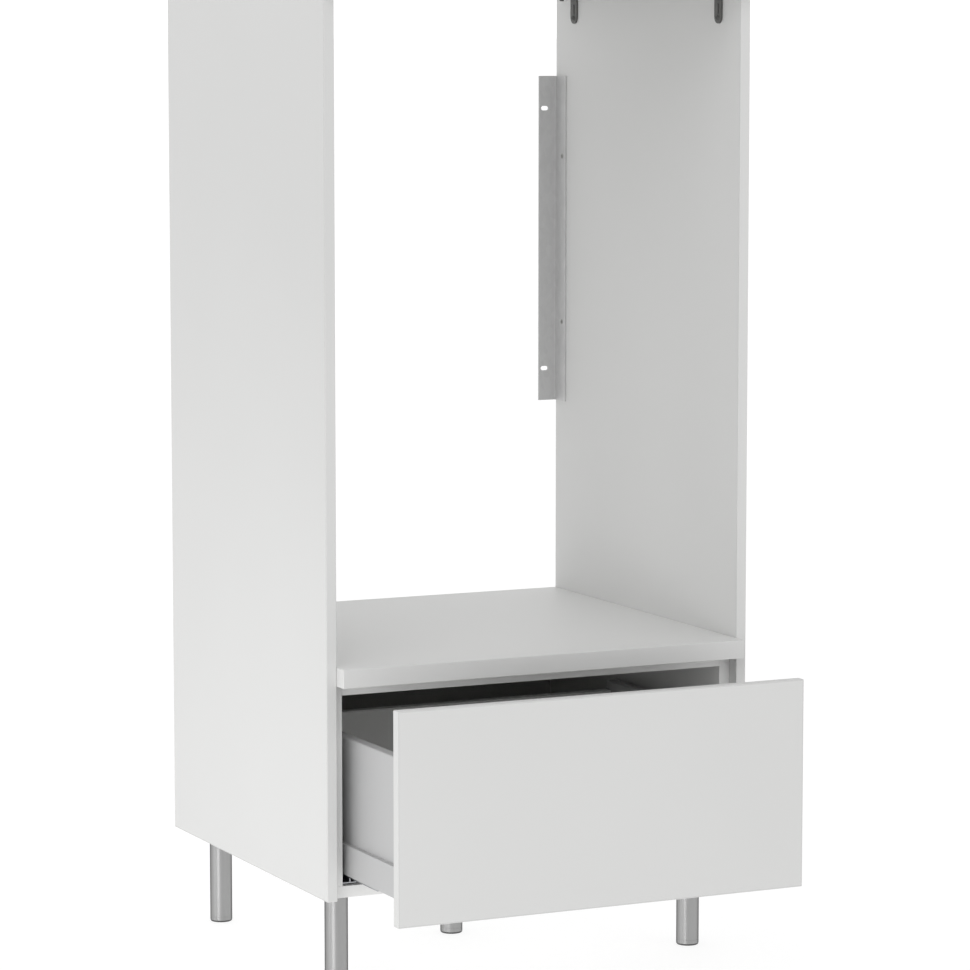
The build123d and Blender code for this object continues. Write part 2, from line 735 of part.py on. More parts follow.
def roller_cage(sign, low, width, start):
    """A row of rollers in a flat cage that keeps them apart."""
    middle_z = low + roller_room / 2
    x = inward(sign, track_middle)
    step = cage_length / roller_count
    centres = [(x, start + step * (number + 0.5), middle_z) for number in range(roller_count)]
    cage_z = (middle_z - cage_thickness / 2, middle_z + cage_thickness / 2)
    block((x - width / 2, x + width / 2), (start, start + cage_length), cage_z)
    window = roller_diameter + 2 * cage_window_gap
    roller_length = width - 2 * roller_end_gap
    with Locations(*centres):
        Box(roller_length + 2 * cage_window_gap, window, cage_thickness + cut_past, mode=Mode.SUBTRACT)
    with Locations(*centres):
        Cylinder(roller_diameter / 2, roller_length, rotation=(0, 90, 0))


# Runners: the track is fixed, the middle member goes half as far as the drawer, and the cages
# between them go a quarter and three quarters as far
cage_start_y = runner_start_y + runner_travel / 4 + cage_end_margin
for side, sign in side_signs.items():
    with BuildPart() as runner_track:
        track = (track_middle - track_width / 2, track_middle + track_width / 2)
        with BuildSketch(along(runner_start_y + runner_length)):
            upright(sign, (0, runner_steel), (runner_floor, runner_floor + runner_flange_height))
            upright(sign, (0, track[1]), (runner_floor, runner_floor + runner_steel))
            upright(sign, track, (runner_floor, track_top))
            hollow = (track[0] + track_wall, track[1] - track_wall)
            upright(sign, hollow, (runner_floor + runner_steel, track_top - track_wall), mode=Mode.SUBTRACT)
        extrude(amount=runner_length)
        with Locations(*runner_screw_planes(sign, runner_steel)):
            Hole(runner_hole_radius, depth=runner_steel)
    save(runner_track, f"runner_track_{side}")

    with BuildPart() as runner_middle:
        middle_low = runner_floor + runner_steel + middle_leg_gap
        with BuildSketch(along(runner_start_y + member_length - rest_opening / 2)):
            inverted_channel(sign, middle_width, middle_steel, middle_low, middle_top)
        extrude(amount=member_length)
    save(runner_middle, f"runner_middle_{side}")

    with BuildPart() as runner_drawer_member:
        member_low = drawer_member_top - drawer_member_height
        with BuildSketch(along(runner_start_y + member_length - rest_opening)):
            inverted_channel(sign, drawer_member_width, runner_steel, member_low, drawer_member_top)
        extrude(amount=member_length)
    save(runner_drawer_member, f"runner_drawer_member_{side}")

    with BuildPart() as lower_cage:
        lower_width = middle_inner_width - 2 * cage_side_gap
        roller_cage(sign, track_top, lower_width, cage_start_y - rest_opening / 4)
    save(lower_cage, f"roller_cage_lower_{side}")

    with BuildPart() as upper_cage:
        upper_width = drawer_member_inner_width - 2 * cage_side_gap
        roller_cage(sign, middle_top, upper_width, cage_start_y - rest_opening * 3 / 4)
    save(upper_cage, f"roller_cage_upper_{side}")

# Screws of the runner tracks
with BuildPart() as runner_screws:
    for sign in side_signs.values():
        places = runner_screw_planes(sign, runner_steel)
        with Locations(*places):
            Cylinder(runner_screw_diameter / 2, runner_screw_length, align=sunk)
            Cylinder(runner_screw_head / 2, pan_head_height, align=standing)
        screw_drives([place.offset(pan_head_height) for place in places])
save(runner_screws, "runner_screws")

print(f"Overall {cabinet_width:.0f} wide, {ceiling_z + top_board_thickness:.0f} high")
print(f"Niche {2 * inner_x:.0f} wide, {niche_height:.0f} high, platform at {platform_z:.0f}")
print(f"Drawer travel {runner_travel:.1f}, drawn {rest_opening:.1f} open, cage {cage_length:.1f} long")
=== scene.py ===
# %% [markdown]
# Washing machine cabinet: the looks.
# The cabinet is a tall white surround with an open niche for a washing machine, one deep drawer
# under the niche and five round steel legs. Its exact solids come from the CAD model as a fixed
# frame. This lesson gives every solid a finish, builds the few forms that the solids keep plain,
# and sets up a plain studio with the camera at the photograph's place.
# Everything is in metres, with +Z up, +Y to the back and +X to the right.

# %% Load the model, with a helper for a part's box
import json
import math

import bmesh
import bpy
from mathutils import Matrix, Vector


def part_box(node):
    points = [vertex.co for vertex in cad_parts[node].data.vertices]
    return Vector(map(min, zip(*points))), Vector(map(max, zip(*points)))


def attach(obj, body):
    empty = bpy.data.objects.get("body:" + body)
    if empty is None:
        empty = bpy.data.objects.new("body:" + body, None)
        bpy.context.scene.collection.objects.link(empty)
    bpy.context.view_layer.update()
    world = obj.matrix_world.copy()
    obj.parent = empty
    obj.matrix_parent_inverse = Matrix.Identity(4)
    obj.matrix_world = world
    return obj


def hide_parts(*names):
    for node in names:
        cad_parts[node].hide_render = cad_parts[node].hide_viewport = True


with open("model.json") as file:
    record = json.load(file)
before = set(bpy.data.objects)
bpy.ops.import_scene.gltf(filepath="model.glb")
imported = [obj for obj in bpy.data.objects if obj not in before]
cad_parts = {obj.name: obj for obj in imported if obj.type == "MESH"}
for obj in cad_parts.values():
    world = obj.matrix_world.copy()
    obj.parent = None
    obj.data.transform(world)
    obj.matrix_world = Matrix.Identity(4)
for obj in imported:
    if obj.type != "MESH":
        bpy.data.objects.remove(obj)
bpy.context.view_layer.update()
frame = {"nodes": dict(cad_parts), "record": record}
MM = 0.001

# %% [markdown]
# The camera. The photograph is taken from the front left, a little under the top of the niche,
# through a long lens, so that near and far edges keep almost the same size.
# The lens could be shifted down to keep every upright exactly parallel. A shift would stay in
# every other view and push the cabinet out of its frame, so the camera is tilted down instead,
# and its place was fitted to the cabinet's corners.

# %% Camera
camera_place = Vector((-2.388, -5.129, 1.302))
camera_turn = math.radians(-25.46)
camera_tilt = math.radians(-6.56)
lens_length = 147.8
sensor_side = 36.0

camera_data = bpy.data.cameras.new("photo_camera")
camera_data.sensor_width = sensor_side
camera_data.lens = lens_length
camera = bpy.data.objects.new("photo_camera", camera_data)
camera.location = camera_place
camera.rotation_euler = (math.pi / 2 + camera_tilt, 0, camera_turn)
bpy.context.scene.collection.objects.link(camera)
bpy.context.scene.camera = camera
print("camera at", tuple(round(v, 3) for v in camera_place), "lens", lens_length, "mm")

# %% [markdown]
# Two small helpers keep the node trees readable. The first makes a node, sets its options and
# fills its inputs, either with a plain value or with another node's output. The second starts a
# finish: a material with its one shader, whose steady values go straight on the shader.

# %% Node helpers
def add(tree, kind, inputs=None, **options):
    """Make a node, set its options, and set or link its inputs."""
    node = tree.nodes.new(kind)
    for key, value in options.items():
        setattr(node, key, value)
    for key, value in (inputs or {}).items():
        if isinstance(value, bpy.types.NodeSocket):
            tree.links.new(value, node.inputs[key])
        else:
            node.inputs[key].default_value = value
    return node


def new_finish(name, **values):
    """Start a material and set the steady values of its shader."""
    material = bpy.data.materials.new(name)
    material.use_nodes = True
    shader = material.node_tree.nodes["Principled BSDF"]
    for key, value in values.items():
        socket = key.replace("_", " ").title().replace("Ior", "IOR")
        shader.inputs[socket].default_value = value
    return material, material.node_tree, shader


# %% [markdown]
# Surface detail. Real surfaces are never quite even, and the unevenness comes in sizes: the fine
# grain of a press plate, the orange peel of a paint, the cloudy tone of a whole board. Each is
# noise of one size, in metres, so the same helpers serve every finish. Noise is read at the
# object's own coordinates, and the pattern stays on the piece when it moves.
# A noise's values gather around a half and seldom leave 0.3 to 0.7, so a finish that should use
# its whole range of roughness stretches that part.

# %% Helpers for surface detail
even = (1.0, 1.0, 1.0)
noise_low, noise_high = 0.3, 0.7


def place(tree, stretch=even):
    """The point on the piece, in metres, with each axis stretched or squeezed."""
    here = add(tree, "ShaderNodeTexCoord").outputs["Object"]
    if stretch == even:
        return here
    return add(tree, "ShaderNodeMapping", {"Vector": here, "Scale": stretch}).outputs["Vector"]


def grain(tree, size, detail=2.0, stretch=even):
    """Noise from 0 to 1 whose blobs are about as large as size."""
    inputs = {"Vector": place(tree, stretch), "Scale": 1 / size, "Detail": detail}
    return add(tree, "ShaderNodeTexNoise", inputs).outputs["Fac"]


def between(tree, amount, low, high, start=0.0, end=1.0):
    """A number that goes from low to high as amount goes from start to end."""
    inputs = {"Value": amount, "From Min": start, "From Max": end, "To Min": low, "To Max": high}
    return add(tree, "ShaderNodeMapRange", inputs).outputs["Result"]


def varied(tree, noise, low, high):
    """A number that a noise moves over the whole way from low to high."""
    return between(tree, noise, low, high, noise_low, noise_high)


def total(tree, first, second, how="ADD"):
    """The sum, product or difference of two numbers, the smaller, or the first without sign."""
    node = add(tree, "ShaderNodeMath", operation=how)
    for socket, value in zip(node.inputs, (first, second)):
        if isinstance(value, bpy.types.NodeSocket):
            tree.links.new(value, socket)
        else:
            socket.default_value = value
    return node.outputs["Value"]


# %% [markdown]
# Colour and relief. A mix node has sockets of the same names for numbers, vectors and colours, so
# those for colours are taken by their place in its list. Relief is bump: the shader turns the
# light at each point as a surface of that height would. It suits what is far finer than a pixel,
# such as paint grain, while every form that can be seen is in the mesh.

# %% Helpers for colour and relief
mix_amount, mix_first, mix_second = 0, 6, 7
mix_result = 2


def blend_colours(tree, amount, first, second):
    """A colour between two, by an amount from 0 to 1."""
    mix = add(tree, "ShaderNodeMix", {mix_amount: amount}, data_type="RGBA")
    for socket, colour in ((mix_first, first), (mix_second, second)):
        if isinstance(colour, bpy.types.NodeSocket):
            tree.links.new(colour, mix.inputs[socket])
        else:
            mix.inputs[socket].default_value = (*colour, 1)
    return mix.outputs[mix_result]


def raise_surface(tree, shader, height, depth, under=None):
    """Bump of a given depth in metres, on top of an earlier bump."""
    inputs = {"Height": height, "Distance": depth, "Strength": 1.0}
    if under is not None:
        inputs["Normal"] = under
    bump = add(tree, "ShaderNodeBump", inputs)
    tree.links.new(bump.outputs["Normal"], shader.inputs["Normal"])
    return bump.outputs["Normal"]


# %% [markdown]
# The glue lines of the boards. A board's edges are closed with a plastic band, which meets the
# skin in a hair-thin glue line just behind the rounded edge. The line could be cut into the mesh,
# but it is a third of a millimetre wide and hardly deep at all. It is drawn where the distance to
# the nearest banded edge equals the band's thickness, so it needs only each board's box.

# %% Distance to a board's edges
axis_names = ("X", "Y", "Z")


def distance_to_edges(tree, node, axes):
    """Distance from here to the nearest of a board's edges that lie across some axes."""
    low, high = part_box(node)
    parts = add(tree, "ShaderNodeSeparateXYZ", {"Vector": place(tree)})
    nearest = None
    for axis in axes:
        index = axis_names.index(axis)
        middle = (low[index] + high[index]) / 2
        half = (high[index] - low[index]) / 2
        offset = total(tree, parts.outputs[axis], middle, "SUBTRACT")
        distance = total(tree, half, total(tree, offset, 0.0, "ABSOLUTE"), "SUBTRACT")
        nearest = distance if nearest is None else total(tree, nearest, distance, "MINIMUM")
    return nearest


# %% [markdown]
# White melamine. The boards are chipboard with a pressed melamine skin: almost white, softly
# satin, with a very fine press grain that breaks up the highlights. One noise of a hand's width
# makes the tone a little cloudy, and a fine one gives the press grain its gloss and relief. The
# glue line is darker and sunk, so the finish is made for each board in turn.

# %% White melamine
tone_cloud = 0.22
press_size = 0.9 * MM
press_roughness = (0.50, 0.62)
press_height = 0.02 * MM
edge_band = 1.4 * MM
glue_line_half = 0.18 * MM
glue_line_core = 0.4 * glue_line_half
glue_line_sink = -2.0
glue_line_tone = (0.42, 0.42, 0.41)


def melamine(node, banded, white, shade):
    """Melamine for one board, with glue lines along the edges across the banded axes."""
    material, tree, shader = new_finish(f"melamine_{node}")
    tone = blend_colours(tree, grain(tree, tone_cloud, detail=1.0), shade, white)
    past_band = total(tree, distance_to_edges(tree, node, banded), edge_band, "SUBTRACT")
    off_line = total(tree, past_band, 0.0, "ABSOLUTE")
    line = between(tree, off_line, 1.0, 0.0, glue_line_core, glue_line_half)
    colour = blend_colours(tree, line, tone, glue_line_tone)
    tree.links.new(colour, shader.inputs["Base Color"])
    press = grain(tree, press_size)
    tree.links.new(varied(tree, press, *press_roughness), shader.inputs["Roughness"])
    height = total(tree, press, total(tree, line, glue_line_sink, "MULTIPLY"))
    raise_surface(tree, shader, height, press_height)
    return material


# %% [markdown]
# The boards. Every board gets its own melamine with the axes that its bands lie across. Their
# whites differ, set against the photograph, and the differences are painted light and shade. The
# boards of the drawer's carcass and the drawer's own bottom and back are made whitest, painted
# light that lifts the shade inside the carcass, then the thick platform, painted light that lifts
# the shade in the niche, then the side panels and the top board. The drawer front is made the
# greyest, painted shade that dims its brightly lit face.

# %% Boards in melamine
casing_tones = ((0.70, 0.701, 0.694), (0.683, 0.684, 0.677))
# The whites below paint light into the shade of the platform, carcass and drawer, and the front's
# grey paints shade on it.
platform_tones_painted_light = ((0.735, 0.736, 0.729), (0.718, 0.719, 0.712))
front_tones_painted_shade = ((0.675, 0.676, 0.669), (0.66, 0.661, 0.654))
carcass_tones_painted_light = ((0.84, 0.84, 0.832), (0.82, 0.82, 0.812))
drawer_tones_painted_light = ((0.80, 0.80, 0.79), (0.77, 0.77, 0.76))
boards = {
    "side_panel_left": ("YZ", casing_tones),
    "side_panel_right": ("YZ", casing_tones),
    "platform_board": ("Y", platform_tones_painted_light),
    "top_board": ("XY", casing_tones),
    "drawer_front": ("XZ", front_tones_painted_shade),
    "carcass_side_left": ("Y", carcass_tones_painted_light),
    "carcass_side_right": ("Y", carcass_tones_painted_light),
    "carcass_bottom": ("Y", carcass_tones_painted_light),
    "carcass_rail_front": ("Y", carcass_tones_painted_light),
    "carcass_rail_rear": ("Y", carcass_tones_painted_light),
    "drawer_bottom": ("Y", drawer_tones_painted_light),
    "drawer_back": ("Z", drawer_tones_painted_light),
}
finishes = {}
for node, (banded, tones) in boards.items():
    finishes[node] = melamine(node, banded, *tones)
print(len(finishes), "boards in white melamine")

# %% [markdown]
# The carcass back is a thin hard board: painted in front, with pressed fibres that show as faint
# flecks. The fibres lie mostly upright, so the noise is drawn out upwards.

# %% The thin back
fibre_size = 1.2 * MM
fibre_stretch = (1.0, 1.0, 0.35)
fibre_tones = ((0.50, 0.50, 0.49), (0.57, 0.57, 0.56))
fibre_roughness = (0.62, 0.5)
fibre_height = 0.03 * MM


def thin_board():
    """Painted hard board with short pressed fibres."""
    material, tree, shader = new_finish("thin_board")
    fibres = grain(tree, fibre_size, detail=4.0, stretch=fibre_stretch)
    tree.links.new(blend_colours(tree, fibres, *fibre_tones), shader.inputs["Base Color"])
    tree.links.new(varied(tree, fibres, *fibre_roughness), shader.inputs["Roughness"])
    raise_surface(tree, shader, fibres, fibre_height)
    return material


finishes["carcass_back"] = thin_board()

# %% [markdown]
# Satin steel for the legs and their feet. The tubes are ground round and round, so the finest
# scratches run around the leg, and a highlight on them is drawn out upwards. Noise that is
# squeezed along the leg gives the rings. Broader noise varies the gloss as a wiped surface does.
# The dark specular tint is painted shade: it darkens the reflection on the legs' sides where the
# eye grazes them, in place of darker surroundings.

# %% Satin steel
steel_tones = ((0.395, 0.395, 0.395), (0.42, 0.42, 0.418))
steel_roughness = (0.37, 0.41)
grazing_painted_shade = (0.05, 0.05, 0.05, 1)
ring_size = 4.0 * MM
ring_stretch = (1.0, 1.0, 24.0)
ring_height = 0.0015 * MM
wiped_size = 30.0 * MM
wiped_roughness = (-0.02, 0.02)


def satin_steel():
    """Ground steel with fine rings around the leg."""
    material, tree, shader = new_finish(
        "satin_steel", metallic=1.0, anisotropic=0.75, anisotropic_rotation=0.25
    )
    # The dark specular tint paints shade on the legs' grazing sides.
    shader.inputs["Specular Tint"].default_value = grazing_painted_shade
    rings = grain(tree, ring_size, detail=3.0, stretch=ring_stretch)
    wiped = grain(tree, wiped_size)
    tree.links.new(blend_colours(tree, rings, *steel_tones), shader.inputs["Base Color"])
    ground = varied(tree, rings, *steel_roughness)
    roughness = total(tree, ground, between(tree, wiped, *wiped_roughness))
    tree.links.new(roughness, shader.inputs["Roughness"])
    raise_surface(tree, shader, rings, ring_height)
    return material


steel = satin_steel()

# %% [markdown]
# Zinc plating for the runners, plates and screws. It is thinner and bluer than polished steel,
# with faint cloudy flow marks from the bath and short rolling marks along the strip.

# %% Zinc plating
mark_size = 0.7 * MM
mark_stretch = 0.04
mark_height = 0.008 * MM
flow_size = 18.0 * MM
zinc_roughness = (0.30, 0.46)
runner_tones = ((0.60, 0.61, 0.63), (0.44, 0.45, 0.47))
plate_tones = ((0.58, 0.58, 0.58), (0.42, 0.42, 0.43))
screw_tones = ((0.62, 0.62, 0.60), (0.45, 0.45, 0.44))


def zinc_plating(name, bright, dull, along):
    """Zinc on rolled steel, with rolling marks along one axis."""
    material, tree, shader = new_finish(name, metallic=1.0)
    stretch = tuple(mark_stretch if axis == along else 1.0 for axis in axis_names)
    marks = grain(tree, mark_size, detail=3.0, stretch=stretch)
    clouds = grain(tree, flow_size, detail=3.0)
    amount = total(tree, marks, clouds, "MULTIPLY")
    tree.links.new(blend_colours(tree, amount, dull, bright), shader.inputs["Base Color"])
    tree.links.new(varied(tree, clouds, *zinc_roughness), shader.inputs["Roughness"])
    raise_surface(tree, shader, marks, mark_height)
    return material


runner_zinc = zinc_plating("zinc_runner", *runner_tones, along="Y")
plate_zinc = zinc_plating("zinc_plate", *plate_tones, along="X")
screw_zinc = zinc_plating("zinc_screw", *screw_tones, along="Z")

# %% [markdown]
# Galvanised steel for the two wall angles. Hot zinc freezes in flat crystals, called spangle,
# that differ a little in tone. A Voronoi texture gives each crystal its own grey, kept weak,
# because the photograph shows the angle as an even mid grey.

# %% Galvanised steel
crystal_size = 7.0 * MM
crystal_stretch = (1.0, 1.0, 0.6)
crystal_share = 0.5
wobble_size = 6.0 * MM
wobble_height = 0.01 * MM
galvanised_tones = ((0.62, 0.62, 0.62), (0.70, 0.70, 0.70))
galvanised_roughness = (0.42, 0.52)


def galvanised_steel():
    """Grey sheet with weak zinc crystals."""
    material, tree, shader = new_finish("galvanised_steel", metallic=0.7)
    wobble = grain(tree, wobble_size)
    inputs = {"Vector": place(tree, crystal_stretch), "Scale": 1 / crystal_size}
    crystals = add(tree, "ShaderNodeTexVoronoi", inputs, feature="F1").outputs["Color"]
    tone = add(tree, "ShaderNodeSeparateColor", {"Color": crystals}).outputs["Red"]
    spangle = total(tree, tone, crystal_share, "MULTIPLY")
    amount = total(tree, spangle, total(tree, wobble, 1 - crystal_share, "MULTIPLY"))
    tree.links.new(blend_colours(tree, amount, *galvanised_tones), shader.inputs["Base Color"])
    tree.links.new(between(tree, amount, *galvanised_roughness), shader.inputs["Roughness"])
    raise_surface(tree, shader, wobble, wobble_height)
    return material


galvanised = galvanised_steel()

# %% [markdown]
# Paints. The drawer sides have a light grey powder coat, which is baked on and keeps a soft
# orange peel of a millimetre or two. The small brackets under the top board are dark grey with a
# finer, drier coat. One bump lies on the other: the peel, and specks a quarter of its size.

# %% Powder coat and dark paint
specks_in_peel = 4
peel_height = 0.02 * MM
speck_height = 0.005 * MM
paint_swing = 0.05
drawer_paint = {"light": (0.50, 0.501, 0.503), "dark": (0.48, 0.481, 0.483)}
bracket_paint = {"light": (0.115, 0.115, 0.11), "dark": (0.085, 0.085, 0.08)}


def powder_coat(name, light, dark, peel, roughness):
    """Baked paint with orange peel of a given size."""
    material, tree, shader = new_finish(name)
    skin = grain(tree, peel, detail=1.5)
    speck = grain(tree, peel / specks_in_peel, detail=1.0)
    uneven = varied(tree, skin, roughness - paint_swing, roughness + paint_swing)
    tree.links.new(blend_colours(tree, speck, dark, light), shader.inputs["Base Color"])
    tree.links.new(uneven, shader.inputs["Roughness"])
    under = raise_surface(tree, shader, skin, peel_height)
    raise_surface(tree, shader, speck, speck_height, under)
    return material


drawer_grey = powder_coat("drawer_powder_coat", **drawer_paint, peel=1.6 * MM, roughness=0.42)
bracket_grey = powder_coat("bracket_paint", **bracket_paint, peel=0.7 * MM, roughness=0.5)

# %% [markdown]
# Beech for the dowels that join the carcass. They are turned from straight wood, and short dark
# flecks run along them.

# %% Beech
fleck_size = 0.8 * MM
fleck_stretch = (0.15, 1.0, 1.0)
fleck_tones = ((0.42, 0.27, 0.14), (0.60, 0.43, 0.26))
fleck_height = 0.02 * MM


def beech():
    """Plain beech with short dark flecks along the dowel."""
    material, tree, shader = new_finish("beech", roughness=0.6)
    flecks = grain(tree, fleck_size, detail=3.0, stretch=fleck_stretch)
    tree.links.new(blend_colours(tree, flecks, *fleck_tones), shader.inputs["Base Color"])
    raise_surface(tree, shader, flecks, fleck_height)
    return material


# %% [markdown]
# Plastics. The roller cages and the glides under the feet are moulded in a tool with a fine
# spark-eroded grain, which the plastic copies. The bumpers on the drawer front are soft and
# clear, a little cloudy, and light passes under their skin.

# %% Moulded plastic and soft bumpers
spark_size = 0.3 * MM
spark_roughness = (0.45, 0.6)
plastic_height = 0.01 * MM
bumper_cloud = 2.0 * MM
bumper_tones = ((0.55, 0.55, 0.54), (0.68, 0.68, 0.67))


def moulded_plastic(name, dark, light):
    """Plastic with a fine spark-eroded grain, between two greys."""
    material, tree, shader = new_finish(name)
    spark = grain(tree, spark_size)
    colour = blend_colours(tree, spark, (dark, dark, dark), (light, light, light))
    tree.links.new(colour, shader.inputs["Base Color"])
    tree.links.new(varied(tree, spark, *spark_roughness), shader.inputs["Roughness"])
    raise_surface(tree, shader, spark, plastic_height)
    return material


def soft_bumper():
    """Clear soft plastic, a little cloudy."""
    material, tree, shader = new_finish("soft_bumper", roughness=0.3, subsurface_weight=0.3)
    cloud = grain(tree, bumper_cloud)
    tree.links.new(blend_colours(tree, cloud, *bumper_tones), shader.inputs["Base Color"])
    raise_surface(tree, shader, cloud, plastic_height)
    return material


# %% [markdown]
# Each solid in the record names the material slot that it is made of. Boards have a finish of
# their own from above, and every other solid takes the finish of its slot. The leg plates are
# pressed from another strip than the runners, so their rolling marks run the other way.

# %% Dress the solids
slot_finishes = {
    "white_board": finishes["side_panel_left"],
    "drawer_board": finishes["drawer_bottom"],
    "white_hardboard": finishes["carcass_back"],
    "drawer_steel": drawer_grey,
    "zinc_steel": runner_zinc,
    "angle_steel": galvanised,
    "bracket_steel": bracket_grey,
    "leg_steel": steel,
    "screw_steel": screw_zinc,
    "beech": beech(),
    "cage_plastic": moulded_plastic("cage_plastic", dark=0.16, light=0.20),
    "buffer_rubber": soft_bumper(),
}
for part in frame["record"]["subparts"]:
    solid = frame["nodes"][part["node"]]
    finish = finishes.get(part["node"], slot_finishes[part["material_slot"]])
    if part["node"].startswith("leg_plate_") and part["material_slot"] == "zinc_steel":
        finish = plate_zinc
    if not solid.material_slots:
        solid.data.materials.append(finish)
    for slot in solid.material_slots:
        slot.material = finish
print(len(frame["nodes"]), "solids dressed")

# %% [markdown]
# Turned parts. A foot and its glide are turned: every cut across them is round. Such an outline
# could be spun with the screw modifier. Rings of points built in code do the same, and a thread
# needs them anyway: its crest moves up by one pitch on each turn, so the radius depends on the
# angle and the height.

# %% Helper for turned parts
ring_points = 48
sharp_bend = math.radians(30)


def turned(name, radius_at, rings_up, middle):
    """A mesh of stacked rings, closed at both ends, with sharp edges kept where it bends."""
    shape = bmesh.new()
    rings = []
    for level in rings_up:
        ring = []
        for step in range(ring_points):
            turn = math.tau * step / ring_points
            radius = radius_at(level, turn)
            across = middle[0] + radius * math.cos(turn)
            along = middle[1] + radius * math.sin(turn)
            ring.append(shape.verts.new((across, along, level[0])))
        rings.append(ring)
    for below, above in zip(rings, rings[1:]):
        for step in range(ring_points):
            after = (step + 1) % ring_points
            shape.faces.new((below[step], below[after], above[after], above[step]))
    shape.faces.new(list(reversed(rings[0])))
    shape.faces.new(rings[-1])
    mesh = bpy.data.meshes.new(name)
    shape.to_mesh(mesh)
    shape.free()
    mesh.shade_smooth()
    mesh.set_sharp_from_angle(angle=sharp_bend)
    piece = bpy.data.objects.new(name, mesh)
    bpy.context.scene.collection.objects.link(piece)
    return piece


# %% [markdown]
# The feet. Each leg stands on a screwed foot: a steel cap of the leg's own width, a threaded
# spindle above it that turns in the leg, and a dark plastic glide pressed into the cap from
# below, which is the thin dark line where a leg meets the floor. The CAD model keeps the spindle
# plain and leaves the glide out, so the new foot stands for the CAD one and rides on its body.
# The glide's rings are given by their height and how far they lie inside the cap's radius.

# %% Sizes of a foot
cap_radius = 16.0 * MM
cap_height = 8.0 * MM
cap_chamfer = 0.15 * MM
rim_round = 0.2 * MM
sole_inset = 1.2 * MM
glide_height = 2.6 * MM
glide_rings = ((0.0, 2.2 * MM), (0.25 * MM, 1.2 * MM), (0.9 * MM, 0.5 * MM), (1.6 * MM, 0.2 * MM))
spindle_top = 48.0 * MM
thread_radius = 5.0 * MM
thread_depth = 0.8 * MM
thread_pitch = 1.5 * MM
thread_power = 1.4
rings_in_a_turn = 8
print("a spindle with", int((spindle_top - cap_height) / thread_pitch), "turns of thread")


# %% [markdown]
# The outlines. Both are lists of rings, each with its height and its radius. A ring of the thread
# has no radius of its own: it gets one at each angle, from a wave that climbs as it turns. A power
# above one makes the thread's crests broader than its valleys.

# %% Outlines of foot and glide
def foot_outline():
    """Heights of a foot's rings, each with its radius, and none for a ring of the thread."""
    cap = [
        (glide_height, cap_radius - sole_inset),
        (glide_height, cap_radius - rim_round),
        (glide_height + rim_round, cap_radius),
        (cap_height - cap_chamfer, cap_radius),
        (cap_height, cap_radius - cap_chamfer),
        (cap_height, thread_radius),
    ]
    rise = thread_pitch / rings_in_a_turn
    count = int((spindle_top - cap_height) / rise)
    return cap + [(cap_height + rise * (number + 0.5), None) for number in range(count)]


def foot_radius(ring, turn):
    """The cap follows its outline, and the thread a rounded wave that climbs as it turns."""
    height, radius = ring
    if radius is not None:
        return radius
    wave = 0.5 + 0.5 * math.cos(math.tau * (height / thread_pitch) - turn)
    return thread_radius - thread_depth * wave ** thread_power


def glide_outline():
    """Heights of a glide's rings, each with its radius."""
    rings = [(height, cap_radius - inset) for height, inset in glide_rings]
    return rings + [(glide_height, rings[-1][1])]


def glide_radius(ring, turn):
    """A glide is as wide as its outline says all the way round."""
    return ring[1]


# %% [markdown]
# Each pair of foot and glide is built where its CAD foot stands, under the middle of its box.

# %% Five feet
glide_plastic = moulded_plastic("glide_plastic", dark=0.05, light=0.075)
for node in [name for name in frame["nodes"] if name.startswith("foot_")]:
    low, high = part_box(node)
    middle = ((low[0] + high[0]) / 2, (low[1] + high[1]) / 2)
    foot = turned(f"{node}_turned", foot_radius, foot_outline(), middle)
    foot.data.materials.append(steel)
    glide = turned(f"{node}_glide", glide_radius, glide_outline(), middle)
    glide.data.materials.append(glide_plastic)
    for piece in (foot, glide):
        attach(piece, node)
    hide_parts(node)
    print(foot.name, "and", glide.name, "at", tuple(round(v, 3) for v in middle))

# %% [markdown]
# The studio's floor is pale and lit, as on the light tables that shops use for catalogue
# pictures. Such a floor glows a little by itself, which fills the shadow under the cabinet, and
# its light falls on the sides of the cabinet from below. Floor and sky are both as bright as
# white paper or more, so no horizon shows.

# %% Lit floor
floor_reach = 400.0
floor_paint = 0.25
floor_glow = 0.80

floor_mesh = bpy.data.meshes.new("studio_floor")
corners = [(x * floor_reach, y * floor_reach, 0) for x, y in ((-1, -1), (1, -1), (1, 1), (-1, 1))]
floor_mesh.from_pydata(corners, [], [(0, 1, 2, 3)])
floor = bpy.data.objects.new("studio_floor", floor_mesh)
bpy.context.scene.collection.objects.link(floor)
floor_material, _, floor_shader = new_finish(
    "studio_floor", roughness=0.9, specular_ior_level=0.1, emission_strength=floor_glow
)
floor_shader.inputs["Base Color"].default_value = (floor_paint, floor_paint, floor_paint, 1)
floor_shader.inputs["Emission Color"].default_value = (1, 1, 1, 1)
floor_mesh.materials.append(floor_material)
print("floor glow", floor_glow)

# %% [markdown]
# The sky is white low down and behind the cabinet, where the camera looks, and dimmer in front,
# high at both flanks and right overhead. The outsides of the cabinet see all of it and the niche
# sees little, so a dim sky keeps the outsides from outshining the niche. Its strength depends on
# the direction alone: each range below is a part of one axis of that direction.

# %% Sky
horizon_sky = 1.01
low_front_sky = 0.6
high_front_sky = 0.8
high_flank_sky = 0.21
overhead_share = 0.8
back_gain = 1.2
flank_range = (0.4, 0.9)
front_range = (-0.8, -0.2)
height_range = (0.08, 0.45)
overhead_range = (0.7, 1.0)

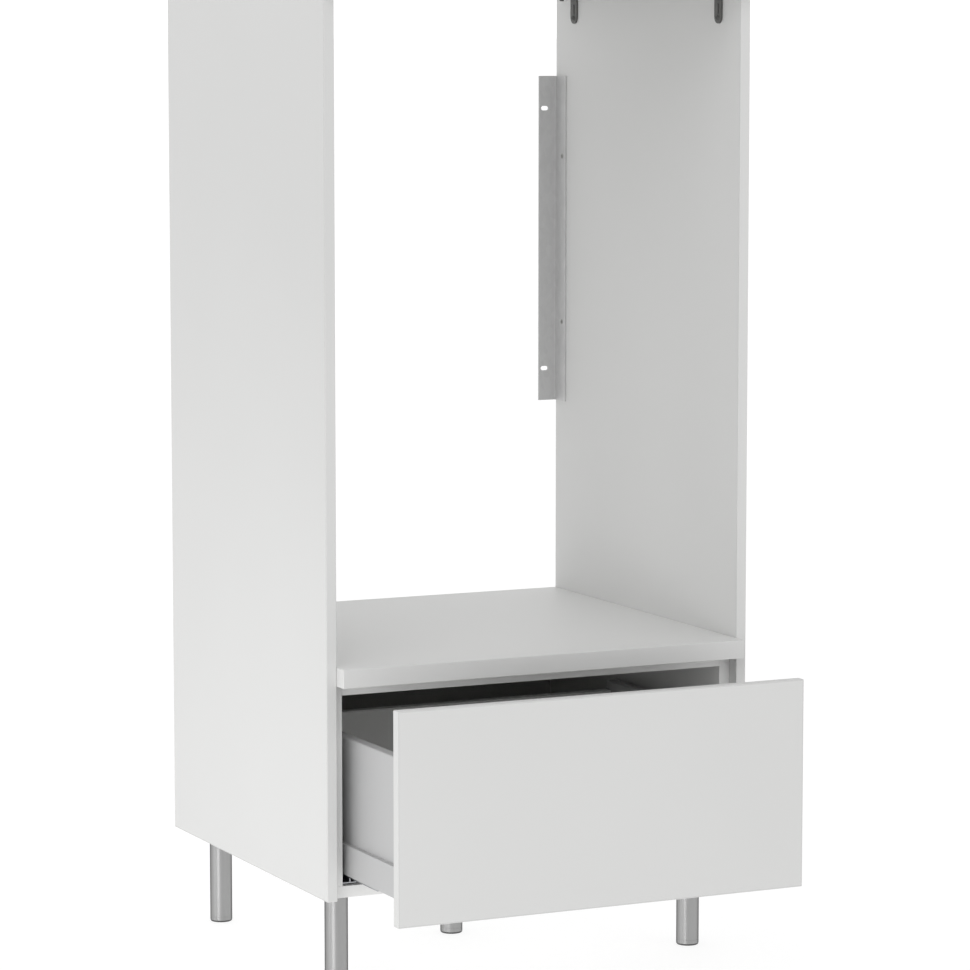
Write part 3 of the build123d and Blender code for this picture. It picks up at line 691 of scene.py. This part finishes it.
sky = bpy.data.worlds.new("studio_sky")
sky.use_nodes = True
sky_tree = sky.node_tree
direction = add(sky_tree, "ShaderNodeTexCoord").outputs["Generated"]
towards = add(sky_tree, "ShaderNodeSeparateXYZ", {"Vector": direction}).outputs
sideways = total(sky_tree, towards["X"], 0.0, "ABSOLUTE")
flanks = between(sky_tree, sideways, horizon_sky, high_flank_sky, *flank_range)
high_sky = between(sky_tree, towards["Y"], high_front_sky, flanks, *front_range)
low_sky = between(sky_tree, towards["Y"], low_front_sky, horizon_sky, *front_range)
rising = between(sky_tree, towards["Z"], low_sky, high_sky, *height_range)
behind = between(sky_tree, towards["Y"], 1.0, back_gain)
falling = between(sky_tree, towards["Z"], 1.0, overhead_share, *overhead_range)
strength = total(sky_tree, rising, total(sky_tree, behind, falling, "MULTIPLY"), "MULTIPLY")
sky_tree.links.new(strength, sky_tree.nodes["Background"].inputs["Strength"])
sky_tree.nodes["Background"].inputs["Color"].default_value = (1, 1, 1, 1)
bpy.context.scene.world = sky
print("sky", horizon_sky, "at the horizon behind,", low_front_sky, "in front")

# %% [markdown]
# The main light is a soft sun from the front left that reaches into the niche, as the
# photograph's does. A sun has no place, only a direction, and its angle sets how soft its
# shadows are.

# %% Soft sun
sun_turn = math.radians(45)
sun_climb = math.radians(35)
sun_strength = 0.35
sun_softness = math.radians(40)


def from_the_left(turn, climb=0.0):
    """Direction towards a light, turned left from the front and raised."""
    level = math.cos(climb)
    return Vector((-math.sin(turn) * level, -math.cos(turn) * level, math.sin(climb)))


sun = bpy.data.lights.new("soft_sun", "SUN")
sun.energy = sun_strength
sun.angle = sun_softness
sun_lamp = bpy.data.objects.new("soft_sun", sun)
sun_lamp.rotation_euler = from_the_left(sun_turn, sun_climb).to_track_quat("Z", "Y").to_euler()
bpy.context.scene.collection.objects.link(sun_lamp)
print("sun from", tuple(round(v, 2) for v in from_the_left(sun_turn, sun_climb)))

# %% [markdown]
# Two low soft panels stand on the same side. They are so small that flat white boards hardly show
# them, but round steel does: the first draws the bright band down each leg, and the dimmer one
# lights the leg's left side. They are hidden from the camera, as lamps outside the picture are.

# %% Low panels
panel_distance = 2.6
panel_size = (1.6, 0.3)
panel_foot = 0.02
panel_spread = math.radians(45)
band_lamp = (math.radians(53), 0.55)
side_lamp = (math.radians(90), 0.22)


def low_panel(name, turn, brightness):
    """A soft lamp that stands on the floor, faces the cabinet and shines in a narrow cone."""
    panel = bpy.data.lights.new(name, "AREA")
    panel.shape = "RECTANGLE"
    panel.size, panel.size_y = panel_size
    panel.spread = panel_spread
    panel.energy = brightness * math.pi * panel_size[0] * panel_size[1]
    lamp = bpy.data.objects.new(name, panel)
    centre_height = Vector((0, 0, panel_size[1] / 2 + panel_foot))
    lamp.location = from_the_left(turn) * panel_distance + centre_height
    lamp.rotation_euler = (math.pi / 2, 0, -turn)
    lamp.visible_camera = False
    bpy.context.scene.collection.objects.link(lamp)
    print(name, "at", tuple(round(v, 2) for v in lamp.location))


low_panel("band_lamp", *band_lamp)
low_panel("side_lamp", *side_lamp)

# %% [markdown]
# The standard view shows colours as they are lit, without a film's soft shoulder, so that white
# stays white.

# %% View
bpy.context.scene.view_settings.view_transform = "Standard"
